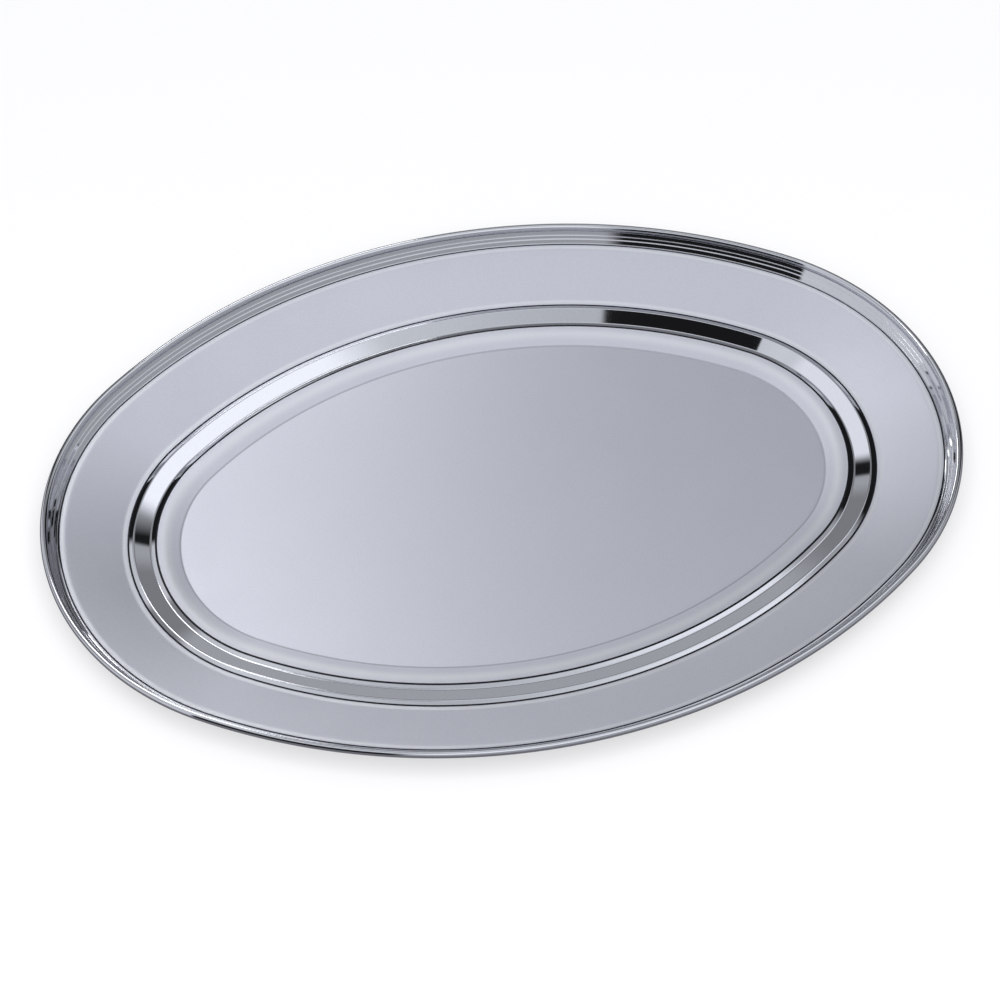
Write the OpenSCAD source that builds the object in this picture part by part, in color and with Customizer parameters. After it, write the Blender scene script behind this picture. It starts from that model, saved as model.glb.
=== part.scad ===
// Oval serving platter, pressed from one stainless sheet, with a wired rolled rim.
//
// The plan is a four-arc oval whose arc centres stand on 3-4-5 triangles. Every crease of the
// tray is an inset of the outer edge, so one cross-section sweeps all the way round.
// The origin is at the middle of the base's underside, X runs along the platter and Z up.

/* [Overall] */
// Length over the rolled rim
length = 500; // [460:5:560]
// Width over the rolled rim
width = 360; // [340:5:380]
// Height from the base's underside to the top of the rim
height = 24.4; // [22:0.2:30]
// Thickness of the sheet
sheet = 0.7; // [0.6:0.05:0.75]

/* [Rim] */
// Diameter of the rolled bead
bead_d = 4; // [3.6:0.1:4.2]
// Part of the circle that the bead is rolled past its outermost point
bead_tuck = 110; // [80:5:115]
// Clearance between the rim wire and the rolled bead
wire_gap = 0.05; // [0.03:0.01:0.1]
// Gap where the two ends of the rim wire meet
wire_butt = 0.6; // [0.3:0.1:2]
// Inset of the fold between the rim and the flange
fold_inset = 9.4; // [9.2:0.1:10]
// Depth of that fold below the middle of the bead
fold_depth = 6.4; // [6:0.1:6.6]
// Width of the gutter that runs between the fold and the rim's lowest riser
gutter_width = 1.1; // [0.9:0.1:1.2]
// Depth of the gutter below the fold
gutter_depth = 0.35; // [0.2:0.05:0.45]

/* [Flange] */
// Inset of the flange's inner edge
flange_inset = 45.3; // [42:0.1:45.6]
// Height of the flange's inner edge above the base's underside
flange_foot = 4.4; // [4.2:0.1:4.6]
// Width of the strip where the flange eases to the moulding
flange_ease = 3; // [2:0.1:4]
// Change of slope in that strip, in degrees
ease_angle = 7; // [3:0.5:9]
// Width of the flange's flatter brow, next to the fold
brow_width = 2.9; // [2.4:0.1:4]
// Slope of the brow, in degrees
brow_slope = 10; // [7:0.5:13]

/* [Moulding] */
// Inset of the crest of the polished moulding
crest_inset = 48.1; // [48:0.1:49]
// Height of that crest above the base's underside
crest_height = 5.45; // [5.3:0.05:5.7]
// Inset of the groove below the crest
groove_inset = 57; // [55:0.1:57.3]
// Height of the groove above the base's underside
groove_height = 2.5; // [2.2:0.1:3]
// Inset of the lip round the well
lip_inset = 59.9; // [59.7:0.1:62]
// Height of the lip above the base's underside
lip_height = 3.6; // [3.4:0.1:3.8]

/* [Well] */
// Inset of the well's flat floor
floor_inset = 73; // [70:0.5:80]
// Share of the well's sloping side that lies in its gentler upper part
shoulder_share = 0.35; // [0.25:0.05:0.5]

/* [Hidden] */

// Centres and radii of the oval's arcs, at the outer edge
unit = (length - width) / 4;
end_x = 3 * unit;
side_y = 4 * unit;
end_r = width / 2 - unit;
side_r = end_r + 5 * unit;

bead_r = bead_d / 2;
bead_z = height - bead_r;

// The rim meets the flange in a fold, with a narrow gutter outside it
fold_z = bead_z - fold_depth;
gutter = [fold_inset - gutter_width, fold_z - gutter_depth];

// The flange is a straight slope with a flatter brow outside and a gentler strip inside
brow = [fold_inset + brow_width, fold_z - brow_width * tan(brow_slope)];
flange_slope = atan((brow[1] - flange_foot) / (flange_inset - brow[0]));
ease = [flange_inset - flange_ease, flange_foot + flange_ease * tan(flange_slope - ease_angle)];

// The well's side leaves the lip gently and steepens before the floor
shoulder = [
    lip_inset + (floor_inset - lip_inset) * shoulder_share,
    lip_height - (lip_height - sheet) * shoulder_share * 0.6
];

// Two fine steps lie between the bead and the gutter. Each is a ledge at the end of a steep
// run, and the numbers are shares of the way from the bead's valley to the gutter.
valley = [bead_r * 1.875, bead_z - bead_r * 0.725];
step_share = [[0.264, 0.326], [0.363, 0.34], [0.571, 0.613], [0.703, 0.632]];
function step_at(i) = [
    valley[0] + (gutter[0] - valley[0]) * step_share[i][0],
    valley[1] + (gutter[1] - valley[1]) * step_share[i][1]
];

function crease(inset, z, r) = [-inset, z, r];
function step(i, r) = crease(step_at(i)[0], step_at(i)[1], r);

// The sheet runs onto the bead where a line from the valley touches the bead's circle
bead_centre = [-bead_r, bead_z];
valley_arm = [-valley[0], valley[1]] - bead_centre;
bead_from = 360 + atan2(valley_arm[1], valley_arm[0]) - acos(bead_r / norm(valley_arm));
bead_step = 10;
function bead_point(a, r) = bead_centre + r * [cos(a), sin(a)];
function bead_arc(r) = [
    for (a = [floor(bead_from / bead_step) * bead_step : -bead_step : -bead_tuck]) bead_point(a, r)
];
bead_start = bead_point(bead_from, bead_r);

// Creases of the upper surface from the floor out to the bead: [-inset, height, radius]
creases = [
    crease(floor_inset + 5, sheet, 0),
    crease(floor_inset, sheet, 3),
    crease(shoulder[0], shoulder[1], 20),
    crease(lip_inset, lip_height, 1.6),
    crease(groove_inset, groove_height, 1.6),
    crease(crest_inset, crest_height, 1.6),
    crease(flange_inset, flange_foot, 1.2),
    crease(ease[0], ease[1], 12),
    crease(brow[0], brow[1], 14),
    crease(fold_inset, fold_z, 0.9),
    crease(gutter[0], gutter[1], 0.4),
    step(3, 0.5),
    step(2, 0.2),
    step(1, 0.5),
    step(0, 0.2),
    crease(valley[0], valley[1], 0.5),
    [bead_start[0], bead_start[1], 0]
];

// Unit direction from point i to the next one, and its left-hand normal
function along(p, i) = let (d = [p[i + 1][0] - p[i][0], p[i + 1][1] - p[i][1]]) d / norm(d);
function left(d) = [-d[1], d[0]];

// Point i of the creases, moved sideways by d to the left of the line, with its radius corrected
function shifted(p, i, d) = let (
    last = len(p) - 1,
    a = along(p, max(i - 1, 0)),
    b = along(p, min(i, last - 1)),
    n = (left(a) + left(b)) / (1 + left(a) * left(b)),
    turn = a[0] * b[1] - a[1] * b[0]
) [p[i][0] + d * n[0], p[i][1] + d * n[1], max(p[i][2] - sign(turn) * d, 0)];
function shifted_line(p, d) = [for (i = [0 : len(p) - 1]) shifted(p, i, d)];

// The corner at point i, rounded to its radius
arc_step = 9;
function corner(p, i) = let (
    a = along(p, i - 1),
    b = along(p, i),
    turn = a[0] * b[1] - a[1] * b[0],
    sweep = acos(a * b),
    start = [p[i][0], p[i][1]] - a * p[i][2] * tan(sweep / 2),
    centre = start + sign(turn) * p[i][2] * left(a),
    n = ceil(sweep / arc_step),
    from = atan2(start[1] - centre[1], start[0] - centre[0])
) p[i][2] < 0.02
    ? [[p[i][0], p[i][1]]]
    : [for (k = [0 : n]) let (t = from + sign(turn) * sweep * k / n)
        centre + p[i][2] * [cos(t), sin(t)]];
function rounded(p) = concat(
    [[p[0][0], p[0][1]]],
    [for (i = [1 : len(p) - 2]) each corner(p, i)],
    [[p[len(p) - 1][0], p[len(p) - 1][1]]]
);

upper_face = concat(rounded(creases), bead_arc(bead_r));
lower_face = concat(rounded(shifted_line(creases, -sheet)), bead_arc(bead_r - sheet));

// Section of the sheet from the axis of an arc of radius r out to the bead
module section(r) {
    polygon(concat(
        [[-r, 0], [-r, sheet]],
        upper_face,
        [for (i = [len(lower_face) - 1 : -1 : 0]) lower_face[i]]
    ));
}

// Each arc is turned about its own centre and cut on the lines that join the centres, where
// neighbouring arcs meet in one plane. The section's X is measured outwards from the outer edge.
module end_arc(side) {
    reach = length / 8;
    intersection() {
        translate([side * end_x, 0, 0])
            rotate_extrude($fn = 180) translate([end_r, 0]) children();
        translate([0, 0, -1]) linear_extrude(height + 2)
            polygon([for (q = [[0, 0], [3, 4], [3, -4]]) [side * (end_x + q[0] * reach), q[1] * reach]]);
    }
}
module side_arc(side) {
    reach = width / 6;
    intersection() {
        translate([0, -side * side_y, 0])
            rotate_extrude($fn = 240) translate([side_r, 0]) children();
        translate([0, 0, -1]) linear_extrude(height + 2)
            polygon([for (q = [[1, 0], [1, 1], [-1, 1], [-1, 0]])
                [q[0] * (end_x + 3 * reach * q[1]), side * 4 * reach * q[1]]]);
    }
}

module pressed_tray() {
    color("silver")
        for (side = [-1, 1]) {
            end_arc(side) section(end_r);
            side_arc(side) section(side_r);
        }
}

module rim_wire() {
    wire_r = bead_r - sheet - wire_gap;
    color("dimgray")
        difference() {
            for (side = [-1, 1]) {
                end_arc(side) translate(bead_centre) circle(wire_r, $fn = 32);
                side_arc(side) translate(bead_centre) circle(wire_r, $fn = 32);
            }
            translate([-wire_butt / 2, -width / 2, bead_z - bead_r]) cube([wire_butt, bead_d, bead_d]);
        }
}

pressed_tray();
rim_wire();
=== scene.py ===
"""Oval serving tray, pressed from one stainless sheet, on a pale floor in soft studio light."""
import math

import bpy
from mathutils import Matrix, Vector


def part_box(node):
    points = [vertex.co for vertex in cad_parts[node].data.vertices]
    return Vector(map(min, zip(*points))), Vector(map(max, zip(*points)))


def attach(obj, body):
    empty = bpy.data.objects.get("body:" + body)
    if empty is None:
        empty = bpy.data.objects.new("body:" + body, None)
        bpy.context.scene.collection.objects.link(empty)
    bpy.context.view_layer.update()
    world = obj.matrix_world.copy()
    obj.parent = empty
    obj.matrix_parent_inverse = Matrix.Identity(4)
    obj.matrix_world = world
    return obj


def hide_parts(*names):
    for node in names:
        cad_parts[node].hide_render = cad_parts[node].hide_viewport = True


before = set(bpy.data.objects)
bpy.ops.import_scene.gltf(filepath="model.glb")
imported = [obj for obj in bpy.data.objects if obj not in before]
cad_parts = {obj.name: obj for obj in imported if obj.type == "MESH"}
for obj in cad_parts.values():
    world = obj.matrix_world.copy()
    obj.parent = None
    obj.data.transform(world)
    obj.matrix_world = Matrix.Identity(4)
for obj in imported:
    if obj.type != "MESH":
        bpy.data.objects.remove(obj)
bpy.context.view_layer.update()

MM = 0.001

# ---------------------------------------------------------------- section of the sheet
# The same section as the CAD part, in millimetres. Insets are measured from the outer edge.
SHEET = 0.7
BEAD_D, BEAD_TUCK = 4.0, 110.0
FOLD_INSET, FOLD_DEPTH = 9.4, 6.4
GUTTER_WIDTH, GUTTER_DEPTH = 1.1, 0.35
BROW_WIDTH, BROW_SLOPE = 2.9, 10.0
FLANGE_INSET, FLANGE_FOOT, FLANGE_EASE, EASE_ANGLE = 45.3, 4.4, 3.0, 7.0
CREST_INSET, CREST_HEIGHT = 48.1, 5.45
GROOVE_INSET, GROOVE_HEIGHT = 57.0, 2.5
LIP_INSET, LIP_HEIGHT = 59.9, 3.6
FLOOR_INSET, SHOULDER_SHARE, SHOULDER_DROP = 73.0, 0.35, 0.6
FLOOR_RUN = 5         # the flat strip that the section itself holds
# The valley's inset and its depth below the middle of the bead, in bead radii
VALLEY_INSET, VALLEY_DEPTH = 1.875, 0.725
# Corners of the two fine steps, as shares of the way from the valley to the gutter
STEP_SHARE = [(0.264, 0.326), (0.363, 0.34), (0.571, 0.613), (0.703, 0.632)]

low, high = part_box("pressed_tray")
LENGTH, WIDTH, HEIGHT = [round((b - a) / MM, 1) for a, b in zip(low, high)]

# Zones of the sheet; the last is a painted dark reflection in the creases between satin and polish
SATIN, POLISH, UNDER, PAINTED_DARK_CREASE = range(4)

MIN_RADIUS = 0.05     # mm, at the underside's sharpest corners
CORNER_STEP = math.radians(7)
UPPER_BEAD_STEP, UNDER_BEAD_STEP = 8, 12      # degrees
SUPPORT = 0.06        # mm, from a corner's end to the loop that keeps the straight run flat
PAINTED_DARK_CREASE_REACH = 0.2      # mm, the same at a corner between satin and polish, where it also widens the painted dark reflection


def creases():
    """Corners of the upper face from the floor out to the bead: (x, z, radius, zone outside it)."""
    bead_r = BEAD_D / 2
    bead_z = HEIGHT - bead_r
    fold_z = bead_z - FOLD_DEPTH
    gutter = (FOLD_INSET - GUTTER_WIDTH, fold_z - GUTTER_DEPTH)
    brow = (FOLD_INSET + BROW_WIDTH, fold_z - BROW_WIDTH * math.tan(math.radians(BROW_SLOPE)))
    slope = math.atan((brow[1] - FLANGE_FOOT) / (FLANGE_INSET - brow[0]))
    foot_z = FLANGE_FOOT + FLANGE_EASE * math.tan(slope - math.radians(EASE_ANGLE))
    shoulder_x = LIP_INSET + (FLOOR_INSET - LIP_INSET) * SHOULDER_SHARE
    shoulder_z = LIP_HEIGHT - (LIP_HEIGHT - SHEET) * SHOULDER_SHARE * SHOULDER_DROP
    valley = (bead_r * VALLEY_INSET, bead_z - bead_r * VALLEY_DEPTH)
    steps = [(valley[0] + (gutter[0] - valley[0]) * u, valley[1] + (gutter[1] - valley[1]) * v)
             for u, v in STEP_SHARE]
    arm = Vector((bead_r - valley[0], valley[1] - bead_z))
    start = math.atan2(arm.y, arm.x) + 2 * math.pi - math.acos(bead_r / arm.length)
    on_bead = (-bead_r + bead_r * math.cos(start), bead_z + bead_r * math.sin(start))
    points = [
        (-FLOOR_INSET - FLOOR_RUN, SHEET, 0, SATIN),
        (-FLOOR_INSET, SHEET, 3, SATIN),
        (-shoulder_x, shoulder_z, 20, SATIN),
        (-LIP_INSET, LIP_HEIGHT, 1.6, POLISH),
        (-GROOVE_INSET, GROOVE_HEIGHT, 1.6, POLISH),
        (-CREST_INSET, CREST_HEIGHT, 1.6, POLISH),
        (-FLANGE_INSET, FLANGE_FOOT, 1.2, SATIN),
        (-FLANGE_INSET + FLANGE_EASE, foot_z, 12, SATIN),
        (-brow[0], brow[1], 14, SATIN),
        (-FOLD_INSET, fold_z, 0.9, POLISH),
        (-gutter[0], gutter[1], 0.4, POLISH),
        (-steps[3][0], steps[3][1], 0.5, POLISH),
        (-steps[2][0], steps[2][1], 0.2, POLISH),
        (-steps[1][0], steps[1][1], 0.5, POLISH),
        (-steps[0][0], steps[0][1], 0.2, POLISH),
        (-valley[0], valley[1], 0.5, POLISH),
        (on_bead[0], on_bead[1], 0, POLISH),
    ]
    return points, (-bead_r, bead_z, bead_r, start)


def direction(points, i):
    """Unit direction from point i to the next one."""
    (x0, z0), (x1, z1) = points[i][:2], points[i + 1][:2]
    return Vector((x1 - x0, z1 - z0)).normalized()


def shifted(points, depth):
    """The crease line moved down by depth, with the radii of its corners corrected."""
    last = len(points) - 1
    moved = []
    for i, (x, z, r, zone) in enumerate(points):
        a = direction(points, max(i - 1, 0))
        b = direction(points, min(i, last - 1))
        la, lb = Vector((a.y, -a.x)), Vector((b.y, -b.x))
        n = (la + lb) / (1 + la.dot(lb))
        turn = a.x * b.y - a.y * b.x
        radius = r + math.copysign(depth, turn) if abs(turn) > 1e-9 else r
        moved.append((x + depth * n.x, z + depth * n.y, max(radius, MIN_RADIUS if r else 0), zone))
    return moved


def rounded(points, support=0):
    """The crease line with every corner turned into an arc: [(x, z, zone of the run after it)]."""
    line = [(points[0][0], points[0][1], points[0][3])]
    for i in range(1, len(points) - 1):
        x, z, r, zone = points[i]
        a, b = direction(points, i - 1), direction(points, i)
        turn = math.copysign(1, a.x * b.y - a.y * b.x)
        sweep = math.acos(max(-1, min(1, a.dot(b))))
        reach = r * math.tan(sweep / 2)
        start = Vector((x, z)) - a * reach
        centre = start + turn * r * Vector((-a.y, a.x))
        first = math.atan2(start.y - centre.y, start.x - centre.x)
        count = max(2, math.ceil(sweep / CORNER_STEP))
        before = line[-1][2]
        # Painted dark reflection: the corner where satin meets polish gets the near-black material
        own = PAINTED_DARK_CREASE if {before, zone} == {SATIN, POLISH} else zone
        spare = PAINTED_DARK_CREASE_REACH if support and own == PAINTED_DARK_CREASE else support
        if spare:
            line.append((start.x - a.x * spare, start.y - a.y * spare, own))
        for k in range(count + 1):
            t = first + turn * sweep * k / count
            line.append((centre.x + r * math.cos(t), centre.y + r * math.sin(t), own))
        if spare:
            end = Vector((x, z)) + b * (reach + spare)
            line.append((end.x, end.y, zone))
        else:
            line[-1] = (line[-1][0], line[-1][1], zone)
    line.append((points[-1][0], points[-1][1], points[-1][3]))
    return line


def bead(arc, radius, step):
    """Points round the rolled bead, about step degrees apart."""
    cx, cz, _, start = arc
    stop = -math.radians(BEAD_TUCK)
    count = math.ceil(math.degrees(start - stop) / step)
    return [(cx + radius * math.cos(start + (stop - start) * k / count),
             cz + radius * math.sin(start + (stop - start) * k / count), POLISH)
            for k in range(count + 1)]


def profile():
    """Closed section from the upper floor, round the bead and back under to the lower floor."""
    points, arc = creases()
    upper = rounded(points, SUPPORT)[:-1] + bead(arc, arc[2], UPPER_BEAD_STEP)
    below = rounded(shifted(points, SHEET))[:-1] + bead(arc, arc[2] - SHEET, UNDER_BEAD_STEP)
    below.reverse()
    return upper + [(x, z, UNDER) for x, z, _ in below]


# ---------------------------------------------------------------- sweep round the oval
# The centres of the oval's arcs stand on 3-4-5 triangles
OVAL_UNIT = (LENGTH - WIDTH) / 4
END_X, SIDE_Y = 3 * OVAL_UNIT, 4 * OVAL_UNIT
END_R = WIDTH / 2 - OVAL_UNIT
SIDE_R = END_R + 5 * OVAL_UNIT


def stations(end_count=92, side_count=66):
    """(centre, radius, outward direction) round the four arcs of the oval."""
    joint = math.atan2(4, 3)
    arcs = [((END_X, 0), END_R, -joint, joint, end_count),
            ((0, -SIDE_Y), SIDE_R, joint, math.pi - joint, side_count),
            ((-END_X, 0), END_R, math.pi - joint, math.pi + joint, end_count),
            ((0, SIDE_Y), SIDE_R, math.pi + joint, 2 * math.pi - joint, side_count)]
    for centre, radius, start, stop, count in arcs:
        for k in range(count):
            t = start + (stop - start) * k / count
            yield Vector(centre), radius, Vector((math.cos(t), math.sin(t)))


# Rings of the flat floor, as shares of its edge
FLOOR_RINGS = (0.94, 0.85, 0.7, 0.55, 0.4, 0.25, 0.1)


def swept_tray():
    """The whole sheet: the section swept round the oval, with both faces of the floor closed."""
    line = profile()
    around = list(stations())
    n, m = len(around), len(line)
    verts, faces, zones = [], [], []
    for x, z, _ in line:
        for centre, radius, out in around:
            p = centre + out * (radius + x)
            verts.append((p.x * MM, p.y * MM, z * MM))
    for j in range(m - 1):
        for i in range(n):
            k = (i + 1) % n
            faces.append((j * n + i, (j + 1) * n + i, (j + 1) * n + k, j * n + k))
            zones.append(line[j][2])
    for row, zone, flip in ((0, SATIN, False), (m - 1, UNDER, True)):
        inner = [row * n + i for i in range(n)]
        rim = [Vector(verts[i]) for i in inner]
        height = rim[0].z
        for share in FLOOR_RINGS:
            ring = list(range(len(verts), len(verts) + n))
            verts.extend((p.x * share, p.y * share, height) for p in rim)
            for i in range(n):
                k = (i + 1) % n
                quad = (ring[i], inner[i], inner[k], ring[k])
                faces.append(quad[::-1] if flip else quad)
                zones.append(zone)
            inner = ring
        middle = len(verts)
        verts.append((0, 0, height))
        for i in range(n):
            tri = (middle, inner[i], inner[(i + 1) % n])
            faces.append(tri[::-1] if flip else tri)
            zones.append(zone)
    mesh = bpy.data.meshes.new("tray_sheet")
    mesh.from_pydata(verts, [], faces)
    mesh.polygons.foreach_set("material_index", zones)
    mesh.polygons.foreach_set("use_smooth", [True] * len(faces))
    mesh.update()
    mesh.validate()
    return mesh


# ---------------------------------------------------------------- materials
class Nodes:
    """A node tree with short ways to add and link nodes."""

    def __init__(self, tree):
        self.tree = tree
        tree.nodes.clear()

    def add(self, kind, inputs=None, **settings):
        node = self.tree.nodes.new(kind)
        for name, value in settings.items():
            setattr(node, name, value)
        for name, value in (inputs or {}).items():
            if isinstance(value, bpy.types.NodeSocket):
                self.tree.links.new(value, node.inputs[name])
            else:
                node.inputs[name].default_value = value
        return node

    def math(self, operation, a, b=0.0, c=0.0, clamp=False):
        return self.add("ShaderNodeMath", {0: a, 1: b, 2: c}, operation=operation,
                        use_clamp=clamp).outputs[0]

    def remap(self, value, from_min, from_max, to_min, to_max, smooth=False):
        kind = "SMOOTHSTEP" if smooth else "LINEAR"
        return self.add("ShaderNodeMapRange",
                        {"Value": value, "From Min": from_min, "From Max": from_max,
                         "To Min": to_min, "To Max": to_max},
                        interpolation_type=kind).outputs["Result"]

    def noise(self, where, size, detail=2.0, rough=0.5):
        """Noise with features of about the given size in metres."""
        return self.add("ShaderNodeTexNoise",
                        {"Vector": where, "Scale": 1 / size, "Detail": detail,
                         "Roughness": rough}).outputs["Fac"]


def inset_field(n, where):
    """Inset from the oval's outer edge, in millimetres, at each point of the surface."""
    parts = n.add("ShaderNodeSeparateXYZ", {0: where}).outputs
    x, y = [n.math("MULTIPLY", n.math("ABSOLUTE", parts[axis]), 1 / MM) for axis in "XY"]

    def reach(a, b):
        return n.math("SQRT", n.math("ADD", n.math("MULTIPLY", a, a), n.math("MULTIPLY", b, b)))

    below = n.math("ADD", y, SIDE_Y)
    side = n.math("SUBTRACT", SIDE_R, reach(x, below))
    end = n.math("SUBTRACT", END_R, reach(n.math("SUBTRACT", x, END_X), y))
    on_side = n.math("LESS_THAN", n.math("MULTIPLY", x, SIDE_Y), n.math("MULTIPLY", below, END_X))
    return n.math("MULTIPLY_ADD", on_side, n.math("SUBTRACT", side, end), end)


def band(n, inset, centre, half_width):
    """1 at an inset, falling softly to 0 on both sides of it."""
    away = n.math("ABSOLUTE", n.math("SUBTRACT", inset, centre))
    return n.remap(away, 0.0, half_width, 1.0, 0.0, smooth=True)


CLOUD, WAVE, RIPPLE = 0.035, 0.06, 0.016      # metres, sizes of the uneven patches and dents
STROKE_TURN, STROKE_SCALE = 0.6, (9, 700, 30)     # radians, and how far the marks are stretched
MARK_DEPTH = 2e-6     # metres, for a wear of 1
GRAIN_SHADE = 0.9     # colour in the grain's hollows
GRAIN_SHARE = 0.6     # part of the roughness's spread that the grain adds
# Noise values: the span that holds nearly all of them, and where marks and patches set in
NOISE_SPAN, MARK_SPAN, PATCH_SPAN = (0.3, 0.7), (0.62, 0.74), (0.45, 0.7)


def steel(name, colour, roughness, spread, grain, grain_depth=0.0, wave_depth=0.0, wear=0.0,
          ripple_depth=0.0, bands=()):
    """Stainless steel whose roughness and surface vary at real scale (sizes in metres)."""
    material = bpy.data.materials.new(name)
    material.use_nodes = True
    n = Nodes(material.node_tree)
    where = n.add("ShaderNodeTexCoord").outputs["Object"]
    cloud = n.noise(where, CLOUD, 3.0)
    fine = n.noise(where, grain, 3.0, 0.6)
    wave = n.noise(where, WAVE, 1.0)
    # Faint marks from wiping and stacking: thin bands of a stretched noise
    turned = n.add("ShaderNodeMapping", {"Vector": where, "Rotation": (0, 0, STROKE_TURN),
                                         "Scale": STROKE_SCALE}).outputs[0]
    strokes = n.add("ShaderNodeTexNoise", {"Vector": turned, "Scale": 1.0,
                                           "Detail": 2.0}).outputs["Fac"]
    marks = n.remap(strokes, *MARK_SPAN, 0.0, 1.0, smooth=True)
    patch = n.remap(cloud, *PATCH_SPAN, 0.0, 1.0, smooth=True)
    marks = n.math("MULTIPLY", marks, patch)
    vary = n.remap(cloud, *NOISE_SPAN, -spread, spread)
    fine_spread = spread * GRAIN_SHARE
    vary = n.math("ADD", vary, n.remap(fine, *NOISE_SPAN, -fine_spread, fine_spread))
    vary = n.math("MULTIPLY_ADD", marks, wear, vary)
    rough = n.math("ADD", vary, roughness, clamp=True)
    tint = n.remap(fine, *NOISE_SPAN, 0.0, 1.0)
    dark = tuple(c * GRAIN_SHADE for c in colour)
    base = n.add("ShaderNodeMix", {0: tint, 6: (*dark, 1), 7: (*colour, 1)},
                 data_type="RGBA").outputs[2]
    # Painted highlights and a painted dark line: the colour is mixed towards a given shade in soft
    # bands at given insets from the edge
    inset = inset_field(n, where) if bands else None
    for centre, half_width, amount, shade in bands:
        share = n.math("MULTIPLY", band(n, inset, centre, half_width), amount)
        base = n.add("ShaderNodeMix", {0: share, 6: base, 7: (*shade, 1)},
                     data_type="RGBA").outputs[2]
    height = n.math("MULTIPLY", fine, grain_depth)
    height = n.math("MULTIPLY_ADD", wave, wave_depth, height)
    if ripple_depth:
        height = n.math("MULTIPLY_ADD", n.noise(where, RIPPLE, 0.0), ripple_depth, height)
    height = n.math("MULTIPLY_ADD", marks, -wear * MARK_DEPTH, height)
    bump = n.add("ShaderNodeBump", {"Height": height, "Distance": 1.0, "Strength": 1.0})
    shader = n.add("ShaderNodeBsdfPrincipled",
                   {"Base Color": base, "Metallic": 1.0, "Roughness": rough,
                    "Normal": bump.outputs[0]})
    n.add("ShaderNodeOutputMaterial", {"Surface": shader.outputs[0]})
    return material


# Painted highlights and a painted dark line on the satin: inset and half width in mm, strength and
# colour
PAINTED_HIGHLIGHT, PAINTED_DARK_LINE = (0.93, 0.94, 0.97), (0.42, 0.43, 0.48)
PAINTED_LIGHT_BANDS = [
    # painted highlights along the fold's brow, the flange's foot and the well's shoulder
    (FOLD_INSET + 2.0, 1.5, 0.8, PAINTED_HIGHLIGHT),
    (FLANGE_INSET - 2.3, 1.7, 0.7, PAINTED_HIGHLIGHT),
    (LIP_INSET + 5.0, 5.0, 0.65, PAINTED_HIGHLIGHT),
    # painted dark line, standing in for the reflection in the fillet where the well side meets the
    # floor
    (FLOOR_INSET - 0.3, 0.9, 0.7, PAINTED_DARK_LINE),
]
SATIN_STEEL = steel("stainless_satin", (0.80, 0.81, 0.88), roughness=0.46, spread=0.02,
                    grain=0.0006, grain_depth=4e-6, wave_depth=4e-5, wear=0.05, bands=PAINTED_LIGHT_BANDS)
POLISHED_STEEL = steel("stainless_polished", (0.74, 0.75, 0.79), roughness=0.035, spread=0.012,
                       grain=0.0005, wave_depth=3e-5, wear=0.06, ripple_depth=8e-6)
UNDER_STEEL = steel("stainless_underside", (0.68, 0.69, 0.71), roughness=0.3, spread=0.03,
                    grain=0.0007, grain_depth=5e-6, wave_depth=4e-5, wear=0.1)
# Near-black steel for the painted dark reflection in the creases between satin and polish
PAINTED_DARK_CREASE_STEEL = steel("painted_dark_crease", (0.03, 0.03, 0.035), roughness=0.35, spread=0.03,
                   grain=0.0006, wear=0.05)
WIRE_STEEL = steel("steel_wire", (0.45, 0.46, 0.48), roughness=0.38, spread=0.05,
                   grain=0.0004, grain_depth=6e-6, wear=0.1)

tray = bpy.data.objects.new("tray_sheet", swept_tray())
bpy.context.scene.collection.objects.link(tray)
for material in (SATIN_STEEL, POLISHED_STEEL, UNDER_STEEL, PAINTED_DARK_CREASE_STEEL):
    tray.data.materials.append(material)
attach(tray, "root")
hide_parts("pressed_tray")

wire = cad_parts["rim_wire"]
for slot in wire.material_slots:
    slot.material = WIRE_STEEL

# ---------------------------------------------------------------- camera
CAMERA_TURN = math.radians(14.94)      # to the left of square on to the long side
CAMERA_RISE = math.radians(50.35)      # above the table
CAMERA_RANGE = 2.0    # metres
CAMERA_LENS = 134.6   # mm, on a 36 mm sensor
# How far the aim lies from the middle of the rim, in metres to the left and down
AIM_LEFT, AIM_DOWN = 0.0029, 0.0131
FORWARD = Vector((math.sin(CAMERA_TURN), math.cos(CAMERA_TURN), 0))
RIGHT = Vector((math.cos(CAMERA_TURN), -math.sin(CAMERA_TURN), 0))
UP = Vector((0, 0, 1))
rim_middle = Vector((0, 0, (HEIGHT - BEAD_D / 2) * MM))
sight = FORWARD * math.cos(CAMERA_RISE) - UP * math.sin(CAMERA_RISE)
frame_up = RIGHT.cross(sight)
camera_data = bpy.data.cameras.new("camera")
camera_data.lens = CAMERA_LENS
camera_data.sensor_width = 36.0
camera_data.clip_end = 50.0
camera = bpy.data.objects.new("camera", camera_data)
camera.location = rim_middle - sight * CAMERA_RANGE
aim = rim_middle - RIGHT * AIM_LEFT - frame_up * AIM_DOWN
camera.rotation_euler = (aim - camera.location).to_track_quat("-Z", "Y").to_euler()
bpy.context.scene.collection.objects.link(camera)
bpy.context.scene.camera = camera
bpy.context.scene.view_settings.view_transform = "Standard"

# ---------------------------------------------------------------- floor
FLOOR_HALF = 8.0      # metres
SPECK = 0.002         # metres, grain of the paper
PAPER = [(0.9, 0.9, 0.905, 1), (0.92, 0.92, 0.925, 1)]
# Glowing paper keeps the shadow faint, and the steel mirrors a darker table
PAPER_GLOW, GLOW_SHARE = (0.97, 0.97, 0.975, 1), 0.6
TABLE_IN_STEEL = (0.2, 0.2, 0.22, 1)

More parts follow.
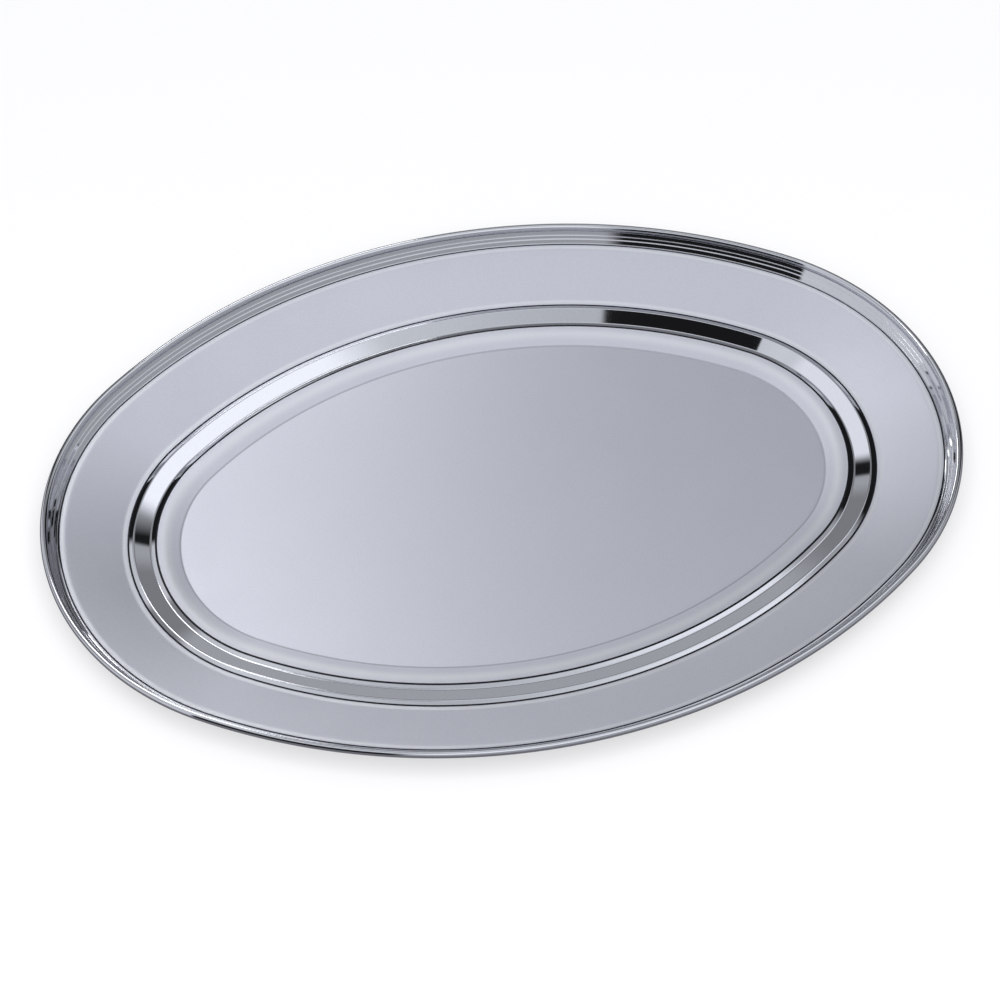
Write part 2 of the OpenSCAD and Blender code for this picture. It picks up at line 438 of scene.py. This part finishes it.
floor_mesh = bpy.data.meshes.new("floor")
floor_mesh.from_pydata([(x * FLOOR_HALF, y * FLOOR_HALF, 0)
                        for x, y in ((-1, -1), (1, -1), (1, 1), (-1, 1))], [], [(0, 1, 2, 3)])
floor = bpy.data.objects.new("floor", floor_mesh)
bpy.context.scene.collection.objects.link(floor)
floor_material = bpy.data.materials.new("floor_paper")
floor_material.use_nodes = True
n = Nodes(floor_material.node_tree)
speck = n.noise(n.add("ShaderNodeTexCoord").outputs["Object"], SPECK, 2.0)
paper = n.add("ShaderNodeMix", {0: speck, 6: PAPER[0], 7: PAPER[1]}, data_type="RGBA")
shader = n.add("ShaderNodeBsdfPrincipled", {"Base Color": paper.outputs[2], "Roughness": 0.9,
                                            "Specular IOR Level": 0.0})
glow = n.add("ShaderNodeEmission", {"Color": PAPER_GLOW, "Strength": 1.0})
path = n.add("ShaderNodeLightPath").outputs
lit = n.add("ShaderNodeMixShader", {0: n.math("MULTIPLY", path["Is Camera Ray"], GLOW_SHARE),
                                    1: shader.outputs[0], 2: glow.outputs[0]})
dim = n.add("ShaderNodeEmission", {"Color": TABLE_IN_STEEL, "Strength": 1.0})
seen = n.add("ShaderNodeMixShader", {0: path["Is Glossy Ray"], 1: lit.outputs[0],
                                     2: dim.outputs[0]})
n.add("ShaderNodeOutputMaterial", {"Surface": seen.outputs[0]})
floor_mesh.materials.append(floor_material)


# ---------------------------------------------------------------- surroundings
def toward(azimuth, elevation):
    """Direction at an azimuth from the camera's forward (positive to its right), in degrees."""
    a, e = math.radians(azimuth), math.radians(elevation)
    return (FORWARD * math.cos(a) + RIGHT * math.sin(a)) * math.cos(e) + UP * math.sin(e)


# Brightness of the studio by elevation in degrees: a dark room round the table, soft boxes above
WALLS = [(0, 0.012), (43, 0.012), (46.5, 0.32), (52, 0.5), (60, 0.7), (72, 0.8), (80, 0.7),
         (86, 0.56), (90, 0.54)]
WALL_TINT, FLAT_TINT = (0.97, 1.0, 1.05), (0.98, 1.0, 1.05)
SKY = 0.92            # behind the floor, as the camera sees it
# Flats hung in the studio, which only the steel and the paper's shading see: corners as
# (azimuth, elevation), soft edge and brightness. Later ones cover earlier ones.
FLATS = [
    # right of the tray: a grey wall below a bright flat
    ([(55, 26), (190, 26), (190, 72), (75, 72)], 0.1, 1.1),
    ([(48, -6), (188, -6), (188, 32), (56, 32)], 0.06, 0.42),
    # left of the tray
    ([(-141, -6), (-40, -6), (-50, 62), (-128, 62)], 0.03, 0.7),
    # bright strips that the moulding's far side mirrors, at its left and its right
    ([(66, 83), (63, 58), (35, 36), (24, 42), (35, 66), (35, 82)], 0.05, 1.25),
    ([(-62, 71), (-67, 60), (-38, 39), (-24, 42), (-42, 68)], 0.05, 0.98),
    # grey gaps that the near side's back slopes mirror
    ([(146, 88), (60, 54), (37, 34), (53, 15), (82, 19), (112, 58)], 0.04, 0.42),
    ([(-146, 88), (-60, 54), (-37, 34), (-53, 15), (-82, 19), (-112, 58)], 0.04, 0.27),
    # a low grey wall ahead, darker at the top
    ([(-30, 34.5), (-22, 24), (-12, 16), (0, 13), (12, 16), (22, 24), (32, 35.5), (28, 50),
      (-24, 47)], 0.015, 0.45),
    ([(-26, 21.5), (26, 21.5), (31, 50), (-27, 50)], 0.05, 0.26),
    # light along the foot of that wall, for the near flange
    ([(-40, -6), (40, -6), (40, 2.5), (-40, 2.5)], 0.03, 1.0),
    # two black cards
    ([(-0.6, 80.3), (-35.4, 75.1), (-79.8, 75.9), (-23.2, 87.3)], 0.006, 0.012),
    ([(-172, -6), (-142, -6), (-141, 45), (-171, 50)], 0.02, 0.012),
]


def tinted(level, tint):
    """Colour of a brightness, with a tint."""
    return (*[level * share for share in tint], 1)


world = bpy.data.worlds.new("studio")
bpy.context.scene.world = world
world.use_nodes = True
n = Nodes(world.node_tree)
ray = n.add("ShaderNodeTexCoord").outputs["Generated"]
rise = n.math("DIVIDE", n.math("ARCSINE", n.add("ShaderNodeSeparateXYZ", {0: ray}).outputs["Z"]),
              math.pi / 2)
walls = n.add("ShaderNodeValToRGB", {"Fac": rise})
stops = walls.color_ramp.elements
while len(stops) < len(WALLS):
    stops.new(1.0)
for stop, (elevation, level) in zip(stops, WALLS):
    stop.position = elevation / 90
    stop.color = tinted(level, WALL_TINT)
colour = walls.outputs["Color"]


def dot(vector):
    """How far the ray points along a unit vector."""
    return n.add("ShaderNodeVectorMath", {0: ray, 1: tuple(vector)},
                 operation="DOT_PRODUCT").outputs["Value"]


for corners, soft, level in FLATS:
    ends = [toward(*corner) for corner in corners]
    middle = sum(ends, Vector()).normalized()
    mask = None
    for a, b in zip(ends, ends[1:] + ends[:1]):
        side = a.cross(b).normalized()
        side *= math.copysign(1, side.dot(middle))
        inside = n.remap(dot(side), 0.0, soft, 0.0, 1.0, smooth=True)
        mask = n.math("MULTIPLY", mask, inside) if mask else inside
    colour = n.add("ShaderNodeMix", {0: mask, 6: colour, 7: tinted(level, FLAT_TINT)},
                   data_type="RGBA").outputs[2]
seen = n.add("ShaderNodeLightPath").outputs["Is Camera Ray"]
colour = n.add("ShaderNodeMix", {0: seen, 6: colour, 7: (SKY, SKY, SKY, 1)},
               data_type="RGBA").outputs[2]
backdrop = n.add("ShaderNodeBackground", {"Color": colour, "Strength": 1.0})
n.add("ShaderNodeOutputWorld", {"Surface": backdrop.outputs[0]})


# A broad soft light above the camera, which the steel doesn't mirror
FILL_SIZE, FILL_POWER, FILL_RANGE = 2.0, 62, 2.6      # metres, watts, metres

fill_data = bpy.data.lights.new("front_fill", "AREA")
fill_data.shape = "RECTANGLE"
fill_data.size, fill_data.size_y = FILL_SIZE, FILL_SIZE
fill_data.energy = FILL_POWER
fill = bpy.data.objects.new("front_fill", fill_data)
fill.location = toward(180, 62) * FILL_RANGE
fill.rotation_euler = (-fill.location).to_track_quat("-Z", "Y").to_euler()
fill.visible_camera = False
fill.visible_glossy = False
bpy.context.scene.collection.objects.link(fill)


def panel(name, left, right, bottom, top, ahead, level):
    """An upright glowing card that only the steel mirrors, in metres from the tray's middle."""
    corners = [(left, bottom), (right, bottom), (right, top), (left, top)]
    mesh = bpy.data.meshes.new(name)
    mesh.from_pydata([RIGHT * x + FORWARD * ahead + UP * z for x, z in corners], [], [(0, 1, 2, 3)])
    card = bpy.data.objects.new(name, mesh)
    bpy.context.scene.collection.objects.link(card)
    glow = bpy.data.materials.new(name)
    glow.use_nodes = True
    n = Nodes(glow.node_tree)
    lamp = n.add("ShaderNodeEmission", {"Color": (0.98, 0.99, 1, 1), "Strength": level})
    n.add("ShaderNodeOutputMaterial", {"Surface": lamp.outputs[0]})
    mesh.materials.append(glow)
    card.visible_camera = False
    card.visible_diffuse = False
    card.visible_shadow = False


panel("near_card", left=-0.44, right=-0.18, bottom=0.60, top=0.86, ahead=0.35, level=5.0)
panel("low_card", left=-0.37, right=-0.08, bottom=0.275, top=0.42, ahead=0.60, level=3.6)
